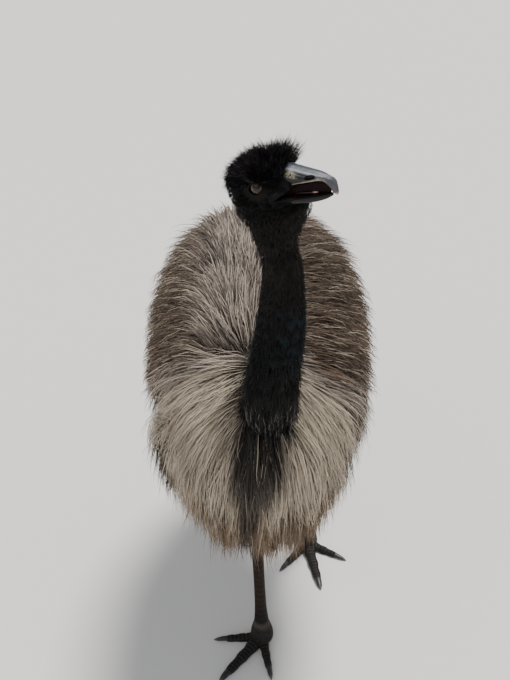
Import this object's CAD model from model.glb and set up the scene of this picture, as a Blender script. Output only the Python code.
"""The looks of a life-size emu: one skin, a coat of feather strands, the bill, the eyes and the claws.

Metres, +Z up. The bird faces -Y and its left side is at +X. Sizes are measured from a point on the floor
under the body, and every piece is moved at the end so that the origin is on the right foot's sole.
"""

import math

import bmesh
import bpy
import numpy as np
from mathutils import Matrix, Vector
from mathutils.bvhtree import BVHTree
from mathutils.kdtree import KDTree


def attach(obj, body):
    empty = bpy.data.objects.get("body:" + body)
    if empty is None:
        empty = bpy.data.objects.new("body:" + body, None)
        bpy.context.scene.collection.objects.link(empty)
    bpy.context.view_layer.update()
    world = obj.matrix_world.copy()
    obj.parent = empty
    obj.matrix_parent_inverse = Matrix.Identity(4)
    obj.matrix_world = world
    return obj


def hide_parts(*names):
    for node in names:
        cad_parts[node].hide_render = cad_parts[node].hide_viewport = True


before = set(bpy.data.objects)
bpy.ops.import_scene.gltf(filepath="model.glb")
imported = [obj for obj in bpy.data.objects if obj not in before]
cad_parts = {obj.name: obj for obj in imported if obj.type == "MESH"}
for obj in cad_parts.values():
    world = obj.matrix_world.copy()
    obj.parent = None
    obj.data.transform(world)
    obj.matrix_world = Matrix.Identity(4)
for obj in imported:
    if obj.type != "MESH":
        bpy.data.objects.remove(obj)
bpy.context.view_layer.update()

ORIGIN = (0.019, -0.120, 0.0)
# Camera: its place, how far it looks down, and its lens on a 36 mm sensor along the frame's long side
CAMERA_AT = (0.0, -1.95, 2.154)
CAMERA_DOWN = 33.0
CAMERA_LENS = 52.94

# Torso plumage out to its tips: y, top, bottom and half width of each station, front to back
TORSO_STATIONS = (
    (-0.412, 0.850, 0.700, 0.050),
    (-0.392, 0.905, 0.590, 0.130),
    (-0.330, 0.975, 0.535, 0.198),
    (-0.210, 1.030, 0.530, 0.238),
    (-0.050, 1.080, 0.550, 0.260),
    (0.120, 1.105, 0.575, 0.262),
    (0.300, 1.082, 0.600, 0.240),
    (0.430, 1.020, 0.620, 0.192),
    (0.540, 0.925, 0.640, 0.135),
    (0.620, 0.810, 0.650, 0.075),
)
TORSO_X = 0.010
TORSO_POWERS = (2.2, 2.7)
# The skin lies this far inside the plumage's tips
SKIN_DEPTH = 0.061
BREAST_Y = -0.408
TAIL_Y = 0.400
# The tail's body: y, top, bottom and half width
TAIL_STATIONS = (
    (0.450, 0.940, 0.700, 0.112),
    (0.495, 0.880, 0.720, 0.073),
    (0.520, 0.825, 0.750, 0.030),
)

# Neck: share of its length, centre and radius of each station, from inside the breast up to the throat
NECK_STATIONS = (
    (0.00, 0.028, -0.240, 0.860, 0.060),
    (0.20, 0.030, -0.350, 0.975, 0.048),
    (0.42, 0.035, -0.445, 1.110, 0.043),
    (0.64, 0.044, -0.515, 1.255, 0.039),
    (0.84, 0.044, -0.565, 1.380, 0.0325),
    (0.97, 0.037, -0.583, 1.436, 0.031),
)
NECK_INSET = 0.0055
# Throat and nape, in head axes: height, centre forward and left, half length and half width of each ring
THROAT_STATIONS = (
    (-0.150, -0.0430, 0.046, 0.0225, 0.0215),
    (-0.128, -0.0350, 0.040, 0.0255, 0.0245),
    (-0.105, -0.0264, 0.033, 0.0295, 0.0275),
    (-0.084, -0.0175, 0.025, 0.0370, 0.0280),
    (-0.066, -0.0070, 0.018, 0.0450, 0.0280),
    (-0.050, -0.0040, 0.012, 0.0550, 0.0275),
    (-0.038, -0.0090, 0.010, 0.0505, 0.0270),
    (-0.026, -0.0120, 0.008, 0.0420, 0.0255),
)

# Head: the midpoint between the eyes, and the turn and lift of the bill
HEAD_AT = (0.014, -0.612, 1.560)
HEAD_TURN = math.radians(68)
HEAD_LIFT = math.radians(19)
# In head axes, forward, left and up: x and z of the top, x and z of the underside, and half width
SKULL_STATIONS = (
    (-0.052, 0.006, -0.052, -0.016, 0.0120),
    (-0.045, 0.021, -0.045, -0.028, 0.0220),
    (-0.028, 0.032, -0.028, -0.037, 0.0300),
    (-0.008, 0.0345, -0.008, -0.041, 0.0325),
    (0.008, 0.034, 0.008, -0.042, 0.0315),
    (0.022, 0.029, 0.022, -0.042, 0.0280),
    (0.035, 0.0235, 0.035, -0.0415, 0.0245),
    (0.046, 0.018, 0.046, -0.0395, 0.0215),
)
BILL_X = 0.046
GAPE = (0.015, -0.0255)
PALATE_Z = -0.0120
JAW_Z = -0.0268
UPPER_BILL_STATIONS = (
    (0.0400, 0.0196, 0.0400, -0.0116, 0.0200),
    (0.0463, 0.0178, 0.0463, -0.0118, 0.0208),
    (0.0600, 0.0112, 0.0600, -0.0120, 0.0185),
    (0.0750, 0.0042, 0.0740, -0.0123, 0.0158),
    (0.0880, -0.0022, 0.0860, -0.0130, 0.0126),
    (0.0985, -0.0090, 0.0915, -0.0165, 0.0094),
    (0.1055, -0.0145, 0.0948, -0.0235, 0.0070),
    (0.1082, -0.0225, 0.0972, -0.0300, 0.0050),
    (0.1078, -0.0320, 0.0995, -0.0355, 0.0031),
    (0.1062, -0.0375, 0.1025, -0.0390, 0.0012),
)
LOWER_BILL_STATIONS = (
    (0.0400, -0.0266, 0.0400, -0.0380, 0.0185),
    (0.0463, -0.0270, 0.0463, -0.0385, 0.0190),
    (0.0620, -0.0292, 0.0620, -0.0412, 0.0165),
    (0.0770, -0.0312, 0.0770, -0.0420, 0.0132),
    (0.0890, -0.0328, 0.0890, -0.0410, 0.0090),
    (0.0975, -0.0350, 0.0975, -0.0388, 0.0030),
)
TONGUE_STATIONS = (
    (0.0420, -0.0228, 0.0420, -0.0262, 0.0070),
    (0.0540, -0.0232, 0.0540, -0.0272, 0.0085),
    (0.0650, -0.0248, 0.0650, -0.0288, 0.0080),
    (0.0745, -0.0268, 0.0745, -0.0303, 0.0055),
    (0.0790, -0.0285, 0.0790, -0.0309, 0.0016),
)
# The soft roof and floor of the mouth, which fill it between the halves of the bill
PALATE_STATIONS = (
    (0.0180, -0.0200, 0.0180, -0.0300, 0.0080),
    (0.0340, -0.0125, 0.0340, -0.0290, 0.0085),
    (0.0500, -0.0095, 0.0500, -0.0295, 0.0075),
    (0.0650, -0.0095, 0.0650, -0.0310, 0.0055),
    (0.0800, -0.0105, 0.0800, -0.0330, 0.0038),
    (0.0920, -0.0150, 0.0910, -0.0345, 0.0022),
    (0.0975, -0.0200, 0.0955, -0.0350, 0.0010),
)
EYE_AT = (-0.0005, 0.0222, 0.0008)
EYE_RADIUS = 0.0135
LID_RADIUS = 0.0158
LID_OPENING = (0.0115, 0.0090)
EAR_AT = (-0.031, 0.0280, -0.015)
NOSTRIL_AT = (0.0770, 0.0150, -0.0028)
NOSTRIL_RADII = (0.0085, 0.0060, 0.0034)
# Swellings of the head: brow, cheek, lore and jaw, each with its centre and radii
HEAD_SWELLINGS = (
    ((0.000, 0.0180, 0.0165), (0.0210, 0.0100, 0.0060)),
    ((-0.020, 0.0200, -0.0230), (0.0170, 0.0100, 0.0120)),
    ((0.024, 0.0165, -0.0060), (0.0170, 0.0085, 0.0100)),
    ((0.012, 0.0180, -0.0330), (0.0240, 0.0080, 0.0060)),
)
# Crown strands, back to front: x in head axes, their length, and how far they lean forward and stand up
CROWN = (
    (-0.055, 0.013, -0.80, 0.30),
    (-0.030, 0.014, -0.45, 0.80),
    (0.000, 0.021, 0.05, 0.95),
    (0.022, 0.034, 0.30, 0.95),
    (0.036, 0.044, 0.40, 0.92),
    (0.046, 0.047, 0.55, 0.85),
)

# Legs: knee, ankle and toe joint of each side, and the middle toe's turn outward in degrees
LEGS = {
    "right": {"side": -1, "knee": (-0.142, -0.160, 0.700), "ankle": (0.000, -0.020, 0.395),
              "joint": (0.019, -0.120, 0.034), "toe_turn": 38},
    "left": {"side": 1, "knee": (0.160, -0.050, 0.690), "ankle": (0.140, 0.222, 0.395),
             "joint": (0.156, 0.234, 0.034), "toe_turn": 10},
}
SIDES = ((-1, "right"), (1, "left"))
HOCK_TOP = 0.425
HUB_TOP = 0.060
# Height, half width and half depth of each station of the leg
SHANK_STATIONS = (
    (0.050, 0.0215, 0.0225),
    (0.090, 0.0165, 0.0175),
    (0.150, 0.0145, 0.0160),
    (0.250, 0.0150, 0.0170),
    (0.320, 0.0175, 0.0205),
    (0.370, 0.0215, 0.0265),
    (0.395, 0.0230, 0.0290),
    (0.440, 0.0205, 0.0270),
)
THIGH_STATIONS = (
    (0.400, 0.0200, 0.0265),
    (0.465, 0.0270, 0.0340),
    (0.520, 0.0430, 0.0500),
    (0.590, 0.0640, 0.0730),
    (0.670, 0.0750, 0.0870),
    (0.740, 0.0610, 0.0770),
    (0.800, 0.0300, 0.0400),
)
# Share of the thigh's width that the skin has under its feathers
THIGH_INSIDE = 0.72
# Toe name: turn from the middle toe, outward positive, then length, half width and height at its root
TOES = {
    "inner": (-48, 0.105, 0.0130, 0.024),
    "middle": (0, 0.150, 0.0165, 0.028),
    "outer": (50, 0.098, 0.0130, 0.024),
}
HUB_STATIONS = ((0.0, 0.024, 0.028), (0.012, 0.029, 0.033), (0.034, 0.029, 0.031), (HUB_TOP, 0.0215, 0.0225))
CLAW_LENGTH = 0.032
SHANK_PITCH = 0.0140
TOE_PITCH = 0.0105
SCUTE_RISE = 0.0012
SCALE_SIZE = 0.0032

# Resolution of the skin where it is covered, on the neck, on the head and on the legs
BODY_VOXEL = 0.0080
NECK_VOXEL = 0.0030
HEAD_VOXEL = 0.0012
LEG_VOXEL = 0.0015

# The plumage parts along this line, and its feathers turn from straight back to sideways between these
# distances from it
PARTING_X = -0.043
PARTING_TURN = (0.02, 0.14)
# Where the brown cloak's lower edge runs on the sides: height over y
CLOAK_EDGE = ((-0.45, 1.30), (-0.30, 1.08), (-0.22, 1.00), (-0.15, 0.93), (-0.08, 0.85), (0.05, 0.80),
              (0.25, 0.78), (0.60, 0.76))
# How far that edge falls, over x, in front of the wings
CLOAK_FALL = ((-0.20, -0.06, 0.09, 0.17), (0.09, 0.0, 0.0, 0.15))
# The cloak's pieces meet at this y, the breast ends at this one, and hair takes over the neck at this height
CLOAK_SPLIT_Y = 0.08
BREAST_BACK_Y = -0.06
HAIR_Z = 1.20
# Size of one strand's patch on the coat's unwrap
TUFT_PATCH = 0.003
# Random strays are cut off at this many times their usual size
STRAY_LIMIT = 1.6
# Feathers that rise less than this lie close to the skin on its underside too
SHORT_RISE = 0.020
# A strand's points past these x are held back to this share of the rest of their way. It keeps the coat in
# its limit round the solids, and it acts on more strands than the limit needs
FLARE_FROM = (-0.253, 0.283)
FLARE_SHARE = 0.35


def colour(red, green, blue):
    """The linear colour of an sRGB triple of 0 to 255."""
    share = np.array([red, green, blue]) / 255
    return np.where(share <= 0.04045, share / 12.92, ((share + 0.055) / 1.055) ** 2.4)


CREAM = colour(216, 201, 180)
PALE = colour(190, 176, 164)
BROWN = colour(112, 92, 75)
DARK_BROWN = colour(52, 41, 34)
GAP_GREY = colour(52, 46, 48)
TAN = colour(140, 116, 90)
SOOT = colour(20, 17, 16)
JET = colour(3, 3, 4)
ASH = colour(150, 146, 142)
SKIN_DARK = colour(6, 6, 6)
SKIN_BLUE = colour(36, 58, 68)
MOUTH = colour(60, 14, 16)
SCALE_DARK = colour(28, 26, 25)
SCALE_PALE = colour(84, 78, 73)
SHANK_BROWN = colour(42, 32, 27)


# Numbers and curves


def along(stations, keys):
    """The values at keys, on a smooth curve through the stations, whose first column is the key."""
    rows = np.array(stations, float)
    marks, values = rows[:, 0], rows[:, 1:]
    slopes = np.gradient(values, marks, axis=0)
    keys = np.clip(np.atleast_1d(keys), marks[0], marks[-1])
    i = np.clip(np.searchsorted(marks, keys) - 1, 0, len(marks) - 2)
    span = (marks[i + 1] - marks[i])[:, None]
    t = (keys - marks[i])[:, None] / span
    return (values[i] * (2 * t**3 - 3 * t**2 + 1) + slopes[i] * span * (t**3 - 2 * t**2 + t)
            + values[i + 1] * (3 * t**2 - 2 * t**3) + slopes[i + 1] * span * (t**3 - t**2))


def rows_through(stations, count):
    """Count rows on a smooth curve through the stations."""
    keyed = np.column_stack([np.arange(len(stations)), stations])
    return along(keyed, np.linspace(0, len(stations) - 1, count))


def soft_step(low, high, values):
    """0 below low, 1 above high and smooth between them."""
    t = np.clip((values - low) / (high - low), 0, 1)
    return t * t * (3 - 2 * t)


def mix(first, second, share):
    """A blend of two colours or lists of colours, by a share for each point."""
    share = np.asarray(share)[..., None]
    return first * (1 - share) + second * share


def wobble(points, size, seed):
    """Smooth noise of about -1 to 1, with features about that size."""
    draw = np.random.default_rng(seed)
    waves = draw.normal(size=(7, 3)) * (3.7 / size)
    return np.sin(points @ waves.T + draw.uniform(0, 2 * math.pi, 7)).sum(axis=1) / 2.6


def unit(vectors):
    return vectors / np.maximum(np.linalg.norm(vectors, axis=-1, keepdims=True), 1e-9)


def oval(sides, power_up=2.0, power_down=None):
    """Points (across, height) of a unit superellipse, from its top and clockwise."""
    angle = 2 * np.pi * np.arange(sides) / sides
    s, c = np.sin(angle), np.cos(angle)
    power = np.where(c > 0, power_up, power_down or power_up)
    return np.column_stack([np.sign(s) * np.abs(s) ** (2 / power), np.sign(c) * np.abs(c) ** (2 / power)])


# Meshes


def linked(name, data):
    """A new object with that data, in the scene."""
    made = bpy.data.objects.new(name, data)
    bpy.context.scene.collection.objects.link(made)
    return made


def mesh_object(name, points, faces):
    """A new object with its faces pointing out."""
    mesh = bpy.data.meshes.new(name)
    mesh.from_pydata([tuple(p) for p in points], [], faces)
    shape = bmesh.new()
    shape.from_mesh(mesh)
    bmesh.ops.recalc_face_normals(shape, faces=shape.faces)
    shape.to_mesh(mesh)
    shape.free()
    return linked(name, mesh)


def loft(name, rings, closed=False):
    """A skin over rings of equally many points, with a flat cap at each end unless it closes on itself."""
    rings = np.asarray(rings, float)
    count, sides = rings.shape[:2]
    index = np.arange(count * sides).reshape(count, sides)
    after = np.roll(index, -1, axis=0) if closed else index[1:]
    before = index if closed else index[:-1]
    quads = np.stack([before, np.roll(before, -1, axis=1), np.roll(after, -1, axis=1), after], axis=-1)
    faces = quads.reshape(-1, 4).tolist()
    if not closed:
        faces += [index[0][::-1].tolist(), index[-1].tolist()]
    return mesh_object(name, rings.reshape(-1, 3), faces)


def ball(name, at, radii, turn=None, sides=32):
    """An ellipsoid with its poles along Y."""
    shape = bmesh.new()
    place = (Matrix.Translation(at) @ (turn or Matrix()) @ Matrix.Diagonal((*radii, 1))
             @ Matrix.Rotation(math.pi / 2, 4, "X"))
    bmesh.ops.create_uvsphere(shape, u_segments=sides, v_segments=sides // 2, radius=1.0, matrix=place)
    mesh = bpy.data.meshes.new(name)
    shape.to_mesh(mesh)
    shape.free()
    return linked(name, mesh)


def drop(items):
    for item in items:
        bpy.data.objects.remove(item)


def settle(item):
    """Applies the item's modifiers."""
    bpy.context.view_layer.update()
    graph = bpy.context.evaluated_depsgraph_get()
    result = bpy.data.meshes.new_from_object(item.evaluated_get(graph))
    item.modifiers.clear()
    item.data = result
    return item


def melt(name, items, voxel, rounds):
    """One smooth skin over closed items that overlap."""
    shape = bmesh.new()
    for item in items:
        shape.from_mesh(item.data)
    mesh = bpy.data.meshes.new(name)
    shape.to_mesh(mesh)
    shape.free()
    drop(items)
    made = linked(name, mesh)
    remesh = made.modifiers.new("remesh", "REMESH")
    remesh.mode, remesh.voxel_size = "VOXEL", voxel
    smooth = made.modifiers.new("smooth", "SMOOTH")
    smooth.factor, smooth.iterations = 0.5, rounds
    return settle(made)


def combine(item, pieces, operation):
    """Joins the pieces to item, or cuts them from it, one by one, and removes them."""
    for piece in pieces:
        step = item.modifiers.new("combine", "BOOLEAN")
        step.operation, step.object, step.solver = operation, piece, "MANIFOLD"
        settle(item)
    drop(pieces)
    return item


def points_of(item):
    """The item's vertices and their normals as arrays."""
    count = len(item.data.vertices)
    points, normals = np.empty(count * 3), np.empty(count * 3)
    item.data.vertices.foreach_get("co", points)
    item.data.vertices.foreach_get("normal", normals)
    return points.reshape(-1, 3), normals.reshape(-1, 3)


def move_points(item, points):
    item.data.vertices.foreach_set("co", np.ascontiguousarray(points, float).ravel())
    item.data.update()


def dress(item, material):
    """Gives every face of an item one material."""
    item.data.materials.clear()
    item.data.materials.append(material)
    item.data.polygons.foreach_set("material_index", np.zeros(len(item.data.polygons), np.int32))


def smooth_shade(item):
    item.data.polygons.foreach_set("use_smooth", np.ones(len(item.data.polygons), bool))


def set_colours(item, colours):
    """Stores a colour for each vertex, which the materials read."""
    layer = item.data.color_attributes.new("Marking", "FLOAT_COLOR", "POINT")
    rgba = np.column_stack([np.clip(colours, 0, 1), np.ones(len(colours))])
    layer.data.foreach_set("color", rgba.ravel())


# The skin


def head_frame():
    """Turns head axes, forward, left and up, into the model's."""
    flat = math.cos(HEAD_LIFT)
    ahead = Vector((math.sin(HEAD_TURN) * flat, -math.cos(HEAD_TURN) * flat, math.sin(HEAD_LIFT)))
    left = Vector((math.cos(HEAD_TURN), math.sin(HEAD_TURN), 0))
    turn = Matrix((ahead, left, ahead.cross(left))).transposed().to_4x4()
    return Matrix.Translation(HEAD_AT) @ turn


HEAD = head_frame()
HEAD_BASIS = np.array(HEAD)[:3, :3]


def in_head(points):
    """Points of the model in head axes."""
    return (points - np.array(HEAD_AT)) @ HEAD_BASIS


def torso_rings(ys, depth, sides=48):
    """Points round the trunk at each y, depth inside the plumage's tips."""
    first, last = TORSO_STATIONS[0][0], TORSO_STATIONS[-1][0]
    top, bottom, half = along(TORSO_STATIONS, ys).T
    top, bottom, half = top - 0.9 * depth, bottom + 1.2 * depth, np.maximum(half - depth, 0.012)
    middle = bottom + 0.52 * (top - bottom)
    at_y = np.where(ys < 0, ys + depth * (1 - 2 * (ys - first) / (last - first)), ys)
    u, v = oval(sides, *TORSO_POWERS).T
    tall = np.where(v > 0, (top - middle)[:, None], (middle - bottom)[:, None])
    return np.stack([TORSO_X + half[:, None] * u, at_y[:, None] + 0 * u, middle[:, None] + v * tall], axis=-1)


def tail_rings(sides=48):
    ys = np.linspace(TAIL_STATIONS[0][0], TAIL_STATIONS[-1][0], 8)
    top, bottom, half = along(TAIL_STATIONS, ys).T
    u, v = oval(sides).T
    middle, tall = (top + bottom) / 2, (top - bottom) / 2
    return np.stack([TORSO_X + half[:, None] * u, ys[:, None] + 0 * u, middle[:, None] + tall[:, None] * v],
                    axis=-1)


def leg_centre(leg, z):
    """The leg's centre line at heights, from the toe joint to the ankle and on towards the knee."""
    heights = [leg[k][2] for k in ("joint", "ankle", "knee")]
    slope = (np.array(leg["knee"]) - leg["ankle"]) / (leg["knee"][2] - leg["ankle"][2])
    z = np.atleast_1d(z).astype(float)
    low = [np.interp(z, heights, [leg[k][axis] for k in ("joint", "ankle", "knee")]) for axis in (0, 1)]
    over = np.maximum(z - heights[2], 0)
    return np.column_stack([low[0] + over * slope[0], low[1] + over * slope[1], z])


def leg_rings(leg, stations, low, high, count, sides=32):
    zs = np.linspace(low, high, count)
    half, deep = along(stations, zs).T
    centre = leg_centre(leg, zs)
    u, v = oval(sides).T
    return np.stack([centre[:, :1] + half[:, None] * u, centre[:, 1:2] - deep[:, None] * v,
                     centre[:, 2:] + 0 * u], axis=-1)


def neck_rings(shares, inset, sides=40):
    """Points round the neck, square to its line."""
    rings = []
    front = np.array([math.sin(HEAD_TURN), -math.cos(HEAD_TURN), 0])
    u, v = oval(sides).T
    for share in shares:
        x, y, z, radius = along(NECK_STATIONS, share)[0]
        ahead = unit(along(NECK_STATIONS, share + 0.01)[0][:3] - along(NECK_STATIONS, share - 0.01)[0][:3])
        way = unit(front - ahead * front.dot(ahead))
        side = np.cross(ahead, way)
        radius = (radius - inset) * (1 - 0.25 * float(soft_step(0.92, 0.97, share)))
        rings.append(np.array([x, y, z]) + radius * (np.outer(v, way) + np.outer(u, side)))
    return rings


def profile_rings(stations, count, sides, power):
    """Rings in head axes across stations that each give a top and an underside point and a half width."""
    u, v = oval(sides, power).T
    rings = []
    for top_x, top_z, low_x, low_z, half in rows_through(stations, count):
        top, low = np.array([top_x, 0, top_z]), np.array([low_x, 0, low_z])
        rings.append((top + low) / 2 + np.outer(v, (top - low) / 2) + np.outer(u, (0, half, 0)))
    return rings


def mirrored(at, side):
    return (at[0], at[1] * side, at[2])


def throat_rings(sides=40):
    u, v = oval(sides).T
    return [np.column_stack([x + long * v, y + wide * u, z + 0 * u])
            for z, x, y, long, wide in rows_through(THROAT_STATIONS, 24)]


def mouth_cutter():
    """The wedge of the open mouth, from the corner of the gape forward."""
    reach, half = 0.060, 0.05
    over = (reach - GAPE[0]) / (BILL_X - GAPE[0])
    jaw = GAPE[1] + (JAW_Z - GAPE[1]) * over
    palate = GAPE[1] + (PALATE_Z - GAPE[1]) * over
    outline = (GAPE, (reach, jaw), (reach, palate))
    return loft("mouth", [[(x, y, z) for x, z in outline] for y in (-half, half)])


def lid_outline(grow=0.0):
    """The lids' opening, widened by grow: an oval that narrows to a corner in front and behind."""
    angles = np.linspace(0, 2 * math.pi, 48, endpoint=False)
    x, z = (LID_OPENING[0] + grow) * np.cos(angles), (LID_OPENING[1] + grow) * np.sin(angles)
    return x, z * (1 - 0.25 * np.abs(np.cos(angles)) ** 3)


def lid_rim(side, grow, thick):
    """A closed tube round the lids' opening."""
    x, z = lid_outline(grow)
    out = np.sqrt(LID_RADIUS**2 - x**2 - z**2)
    centre = np.column_stack([EYE_AT[0] + x, side * (EYE_AT[1] + out), EYE_AT[2] + z])
    ahead = unit(np.roll(centre, -1, axis=0) - np.roll(centre, 1, axis=0))
    outward = unit(centre - np.array(mirrored(EYE_AT, side)))
    across = np.cross(ahead, outward)
    turns = np.linspace(0, 2 * math.pi, 8, endpoint=False)
    rings = [centre[i] + thick * (np.outer(np.cos(turns), outward[i]) + np.outer(np.sin(turns), across[i]))
             for i in range(len(centre))]
    return loft("lid_rim", rings, closed=True)


def lid_cutter(side):
    """A bar through the lids, with the outline of their opening."""
    x, z = lid_outline()
    near, far = EYE_AT[1] + 0.004, EYE_AT[1] + 0.04
    return loft("slit", [np.column_stack([EYE_AT[0] + x, side * out + 0 * x, EYE_AT[2] + z])
                         for out in (near, far)])


def build_head_skin():
    """The bare head, in the model's axes, with lids, ear openings and the corner of the mouth."""
    skull = loft("skull", profile_rings(SKULL_STATIONS, 40, 48, 2.2))
    parts = [skull, loft("throat", throat_rings())]
    for side in (-1, 1):
        parts.append(ball("lid", mirrored(EYE_AT, side), (LID_RADIUS,) * 3))
        parts += [ball("swelling", mirrored(at, side), radii) for at, radii in HEAD_SWELLINGS]
        parts.append(ball("ear_rim", mirrored(EAR_AT, side), (0.0075, 0.0045, 0.0085)))
    head = melt("head_skin", parts, HEAD_VOXEL, 4)
    crease_face(head)
    cutters = [mouth_cutter()]
    for side in (-1, 1):
        cutters.append(ball("socket", mirrored(EYE_AT, side), (EYE_RADIUS + 0.0003,) * 3, sides=48))
        cutters.append(lid_cutter(side))
        deep = (EAR_AT[0], side * (EAR_AT[1] + 0.005), EAR_AT[2])
        cutters.append(ball("ear", deep, (0.0048, 0.007, 0.0058)))
    combine(head, cutters, "DIFFERENCE")
    combine(head, [lid_rim(side, 0.0004, 0.0010) for side in (-1, 1)], "UNION")
    head.data.transform(HEAD)
    return head


def crease_face(head):
    """Fine folds round the eyes, behind the gape and down the throat, as moves of the surface."""
    points, normals = points_of(head)
    x, y, z = points.T
    eye = np.hypot(x - EYE_AT[0], (z - EYE_AT[2]) * 1.15)
    rings = np.sin(eye / 0.0019 * math.pi) * np.exp(-((eye - 0.0185) / 0.0045) ** 2)
    gape = np.hypot(x - GAPE[0], z - GAPE[1])
    folds = np.sin((z + 0.25 * x) / 0.0022 * math.pi) * np.exp(-(gape / 0.016) ** 2)
    throat = np.sin((y + wobble(points, 0.02, 3) * 0.002) / 0.0030 * math.pi) * soft_step(0.038, 0.055, -z)
    grain = wobble(points, 0.0035, 4) * 0.00018
    push = 0.00035 * rings + 0.00040 * folds + 0.00030 * throat + grain
    move_points(head, points + normals * push[:, None])


def tile(share):
    """Height of scutes that overlap like tiles, one to each whole number: full just above its lower edge."""
    part = share % 1.0
    return (1 - 0.75 * part) * np.minimum(part / 0.12, 1.0) * np.minimum((1 - part) / 0.08, 1.0)


def toe_lines(leg):
    """Start, heading, length, half width and height of each toe."""
    base = np.array([leg["joint"][0], leg["joint"][1], 0.0])
    for toe, (turn, length, half, height) in TOES.items():
        angle = math.radians(leg["toe_turn"] + turn)
        heading = np.array([leg["side"] * math.sin(angle), -math.cos(angle), 0.0])
        yield toe, base, heading, length, half, height


def toe_rings(start, heading, length, half, height, count=40, sides=28):
    """A toe that lies flat on the floor, with pads that swell between its joints and a rounded end."""
    across = np.array([heading[1], -heading[0], 0])
    rings = []
    for share in np.linspace(0, 1, count):
        blunt = math.sqrt(max(1 - (max(share - 0.93, 0) / 0.075) ** 2, 0.02))
        pad = 1 + 0.07 * math.cos(share * 2 * math.pi * 3.5)
        width = half * (1.0 - 0.42 * share**1.3) * blunt * pad
        tall = height * (1.0 - 0.45 * share) * (0.4 + 0.6 * blunt) * (0.5 + 0.5 * pad)
        angles = np.linspace(0, 2 * math.pi, sides, endpoint=False)
        up = tall / 2 + np.sin(angles) * tall / 2
        up = np.where(np.sin(angles) < 0, np.maximum(up - 0.15 * tall, 0), up)
        rings.append(start + heading * (length * share) + np.outer(width * np.cos(angles), across)
                     + np.outer(up, (0, 0, 1)))
    return rings


def run_on_toe(points, leg):
    """Distance of each point along the centre line of its nearest toe."""
    best = np.full(len(points), 9.0)
    along_it = np.zeros(len(points))
    for _, start, heading, length, _, _ in toe_lines(leg):
        flat = points - start
        flat[:, 2] = 0
        run = np.clip(flat @ heading, 0, length)
        away = np.linalg.norm(flat - run[:, None] * heading, axis=1)
        along_it = np.where(away < best, run, along_it)
        best = np.minimum(best, away)
    return along_it


def scute_fields(points, normals, leg):
    """How much each point of a leg is on the front scutes and on the toe scutes, and the tiles' height."""
    z = points[:, 2]
    centre = leg_centre(leg, z)
    front = unit(points - centre)[:, 1]
    shank = soft_step(0.15, 0.55, -front) * soft_step(0.066, 0.078, z) * (1 - soft_step(0.405, 0.430, z))
    run = run_on_toe(points, leg)
    toe = soft_step(0.25, 0.6, normals[:, 2]) * (1 - soft_step(0.036, 0.048, z))
    toe = toe * soft_step(0.018, 0.028, run)
    height = shank * tile(z / SHANK_PITCH) + toe * tile(-run / TOE_PITCH)
    return shank, toe, height


def scale_grain(points, size):
    """Rounded small scales: near 1 at their middles and 0 in the grooves between them."""
    a = np.sin(points[:, 0] / size * math.pi + wobble(points, size * 5, 31))
    b = np.sin(points[:, 1] / size * math.pi + wobble(points, size * 5, 32))
    c = np.sin(points[:, 2] / size * math.pi + wobble(points, size * 5, 33))
    return np.clip(np.abs(a * b + b * c + c * a), 0, 1) ** 0.6


def build_leg_skin(name, leg):
    """The scaled leg from the feathered thigh's end down to the toes."""
    parts = [loft("shank", leg_rings(leg, SHANK_STATIONS, 0.050, 0.440, 40))]
    heights = np.linspace(0, HUB_TOP, 12)
    half, deep = along(HUB_STATIONS, heights).T
    centre = leg_centre(leg, np.maximum(heights, leg["joint"][2]))
    back = 0.006 * (1 - heights / HUB_TOP)
    u, v = oval(36).T
    parts.append(loft("hub", np.stack([centre[:, :1] + half[:, None] * u,
                                       (centre[:, 1] + back)[:, None] - deep[:, None] * v,
                                       heights[:, None] + 0 * u], axis=-1)))
    parts += [loft("toe", toe_rings(start, heading, length, half, height))
              for _, start, heading, length, half, height in toe_lines(leg)]
    item = melt(f"leg_skin_{name}", parts, LEG_VOXEL, 3)
    points, normals = points_of(item)
    shank, toe, height = scute_fields(points, normals, leg)
    plain = 1 - np.maximum(shank, toe)
    grain = scale_grain(points, SCALE_SIZE) * plain
    push = SCUTE_RISE * height + 0.0005 * grain
    points = points + normals * push[:, None]
    points[:, 2] = np.maximum(points[:, 2], 0.0002)
    move_points(item, points)
    return item


def build_skin():
    """One closed skin: trunk, tail, wings, thighs, neck, head and legs."""
    ys = np.linspace(BREAST_Y, TAIL_Y, 44)
    parts = [loft("trunk", np.vstack([torso_rings(ys, SKIN_DEPTH), tail_rings()])),
             loft("neck_root", neck_rings(np.linspace(0.03, 0.5, 24), NECK_INSET + 0.001))]
    for leg in LEGS.values():
        stations = [(z, half * THIGH_INSIDE, deep * THIGH_INSIDE) for z, half, deep in THIGH_STATIONS]
        parts.append(loft("thigh", leg_rings(leg, stations, 0.405, 0.80, 30)))
    skin = melt("skin", parts, BODY_VOXEL, 3)
    tube = loft("neck", neck_rings(np.linspace(0.30, 0.965, 60), NECK_INSET))
    neck = melt("neck_skin", [tube], NECK_VOXEL, 2)
    legs = [build_leg_skin(name, leg) for name, leg in LEGS.items()]
    combine(skin, [neck, build_head_skin(), *legs], "UNION")
    smooth_joints(skin)
    smooth_shade(skin)
    return skin


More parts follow.
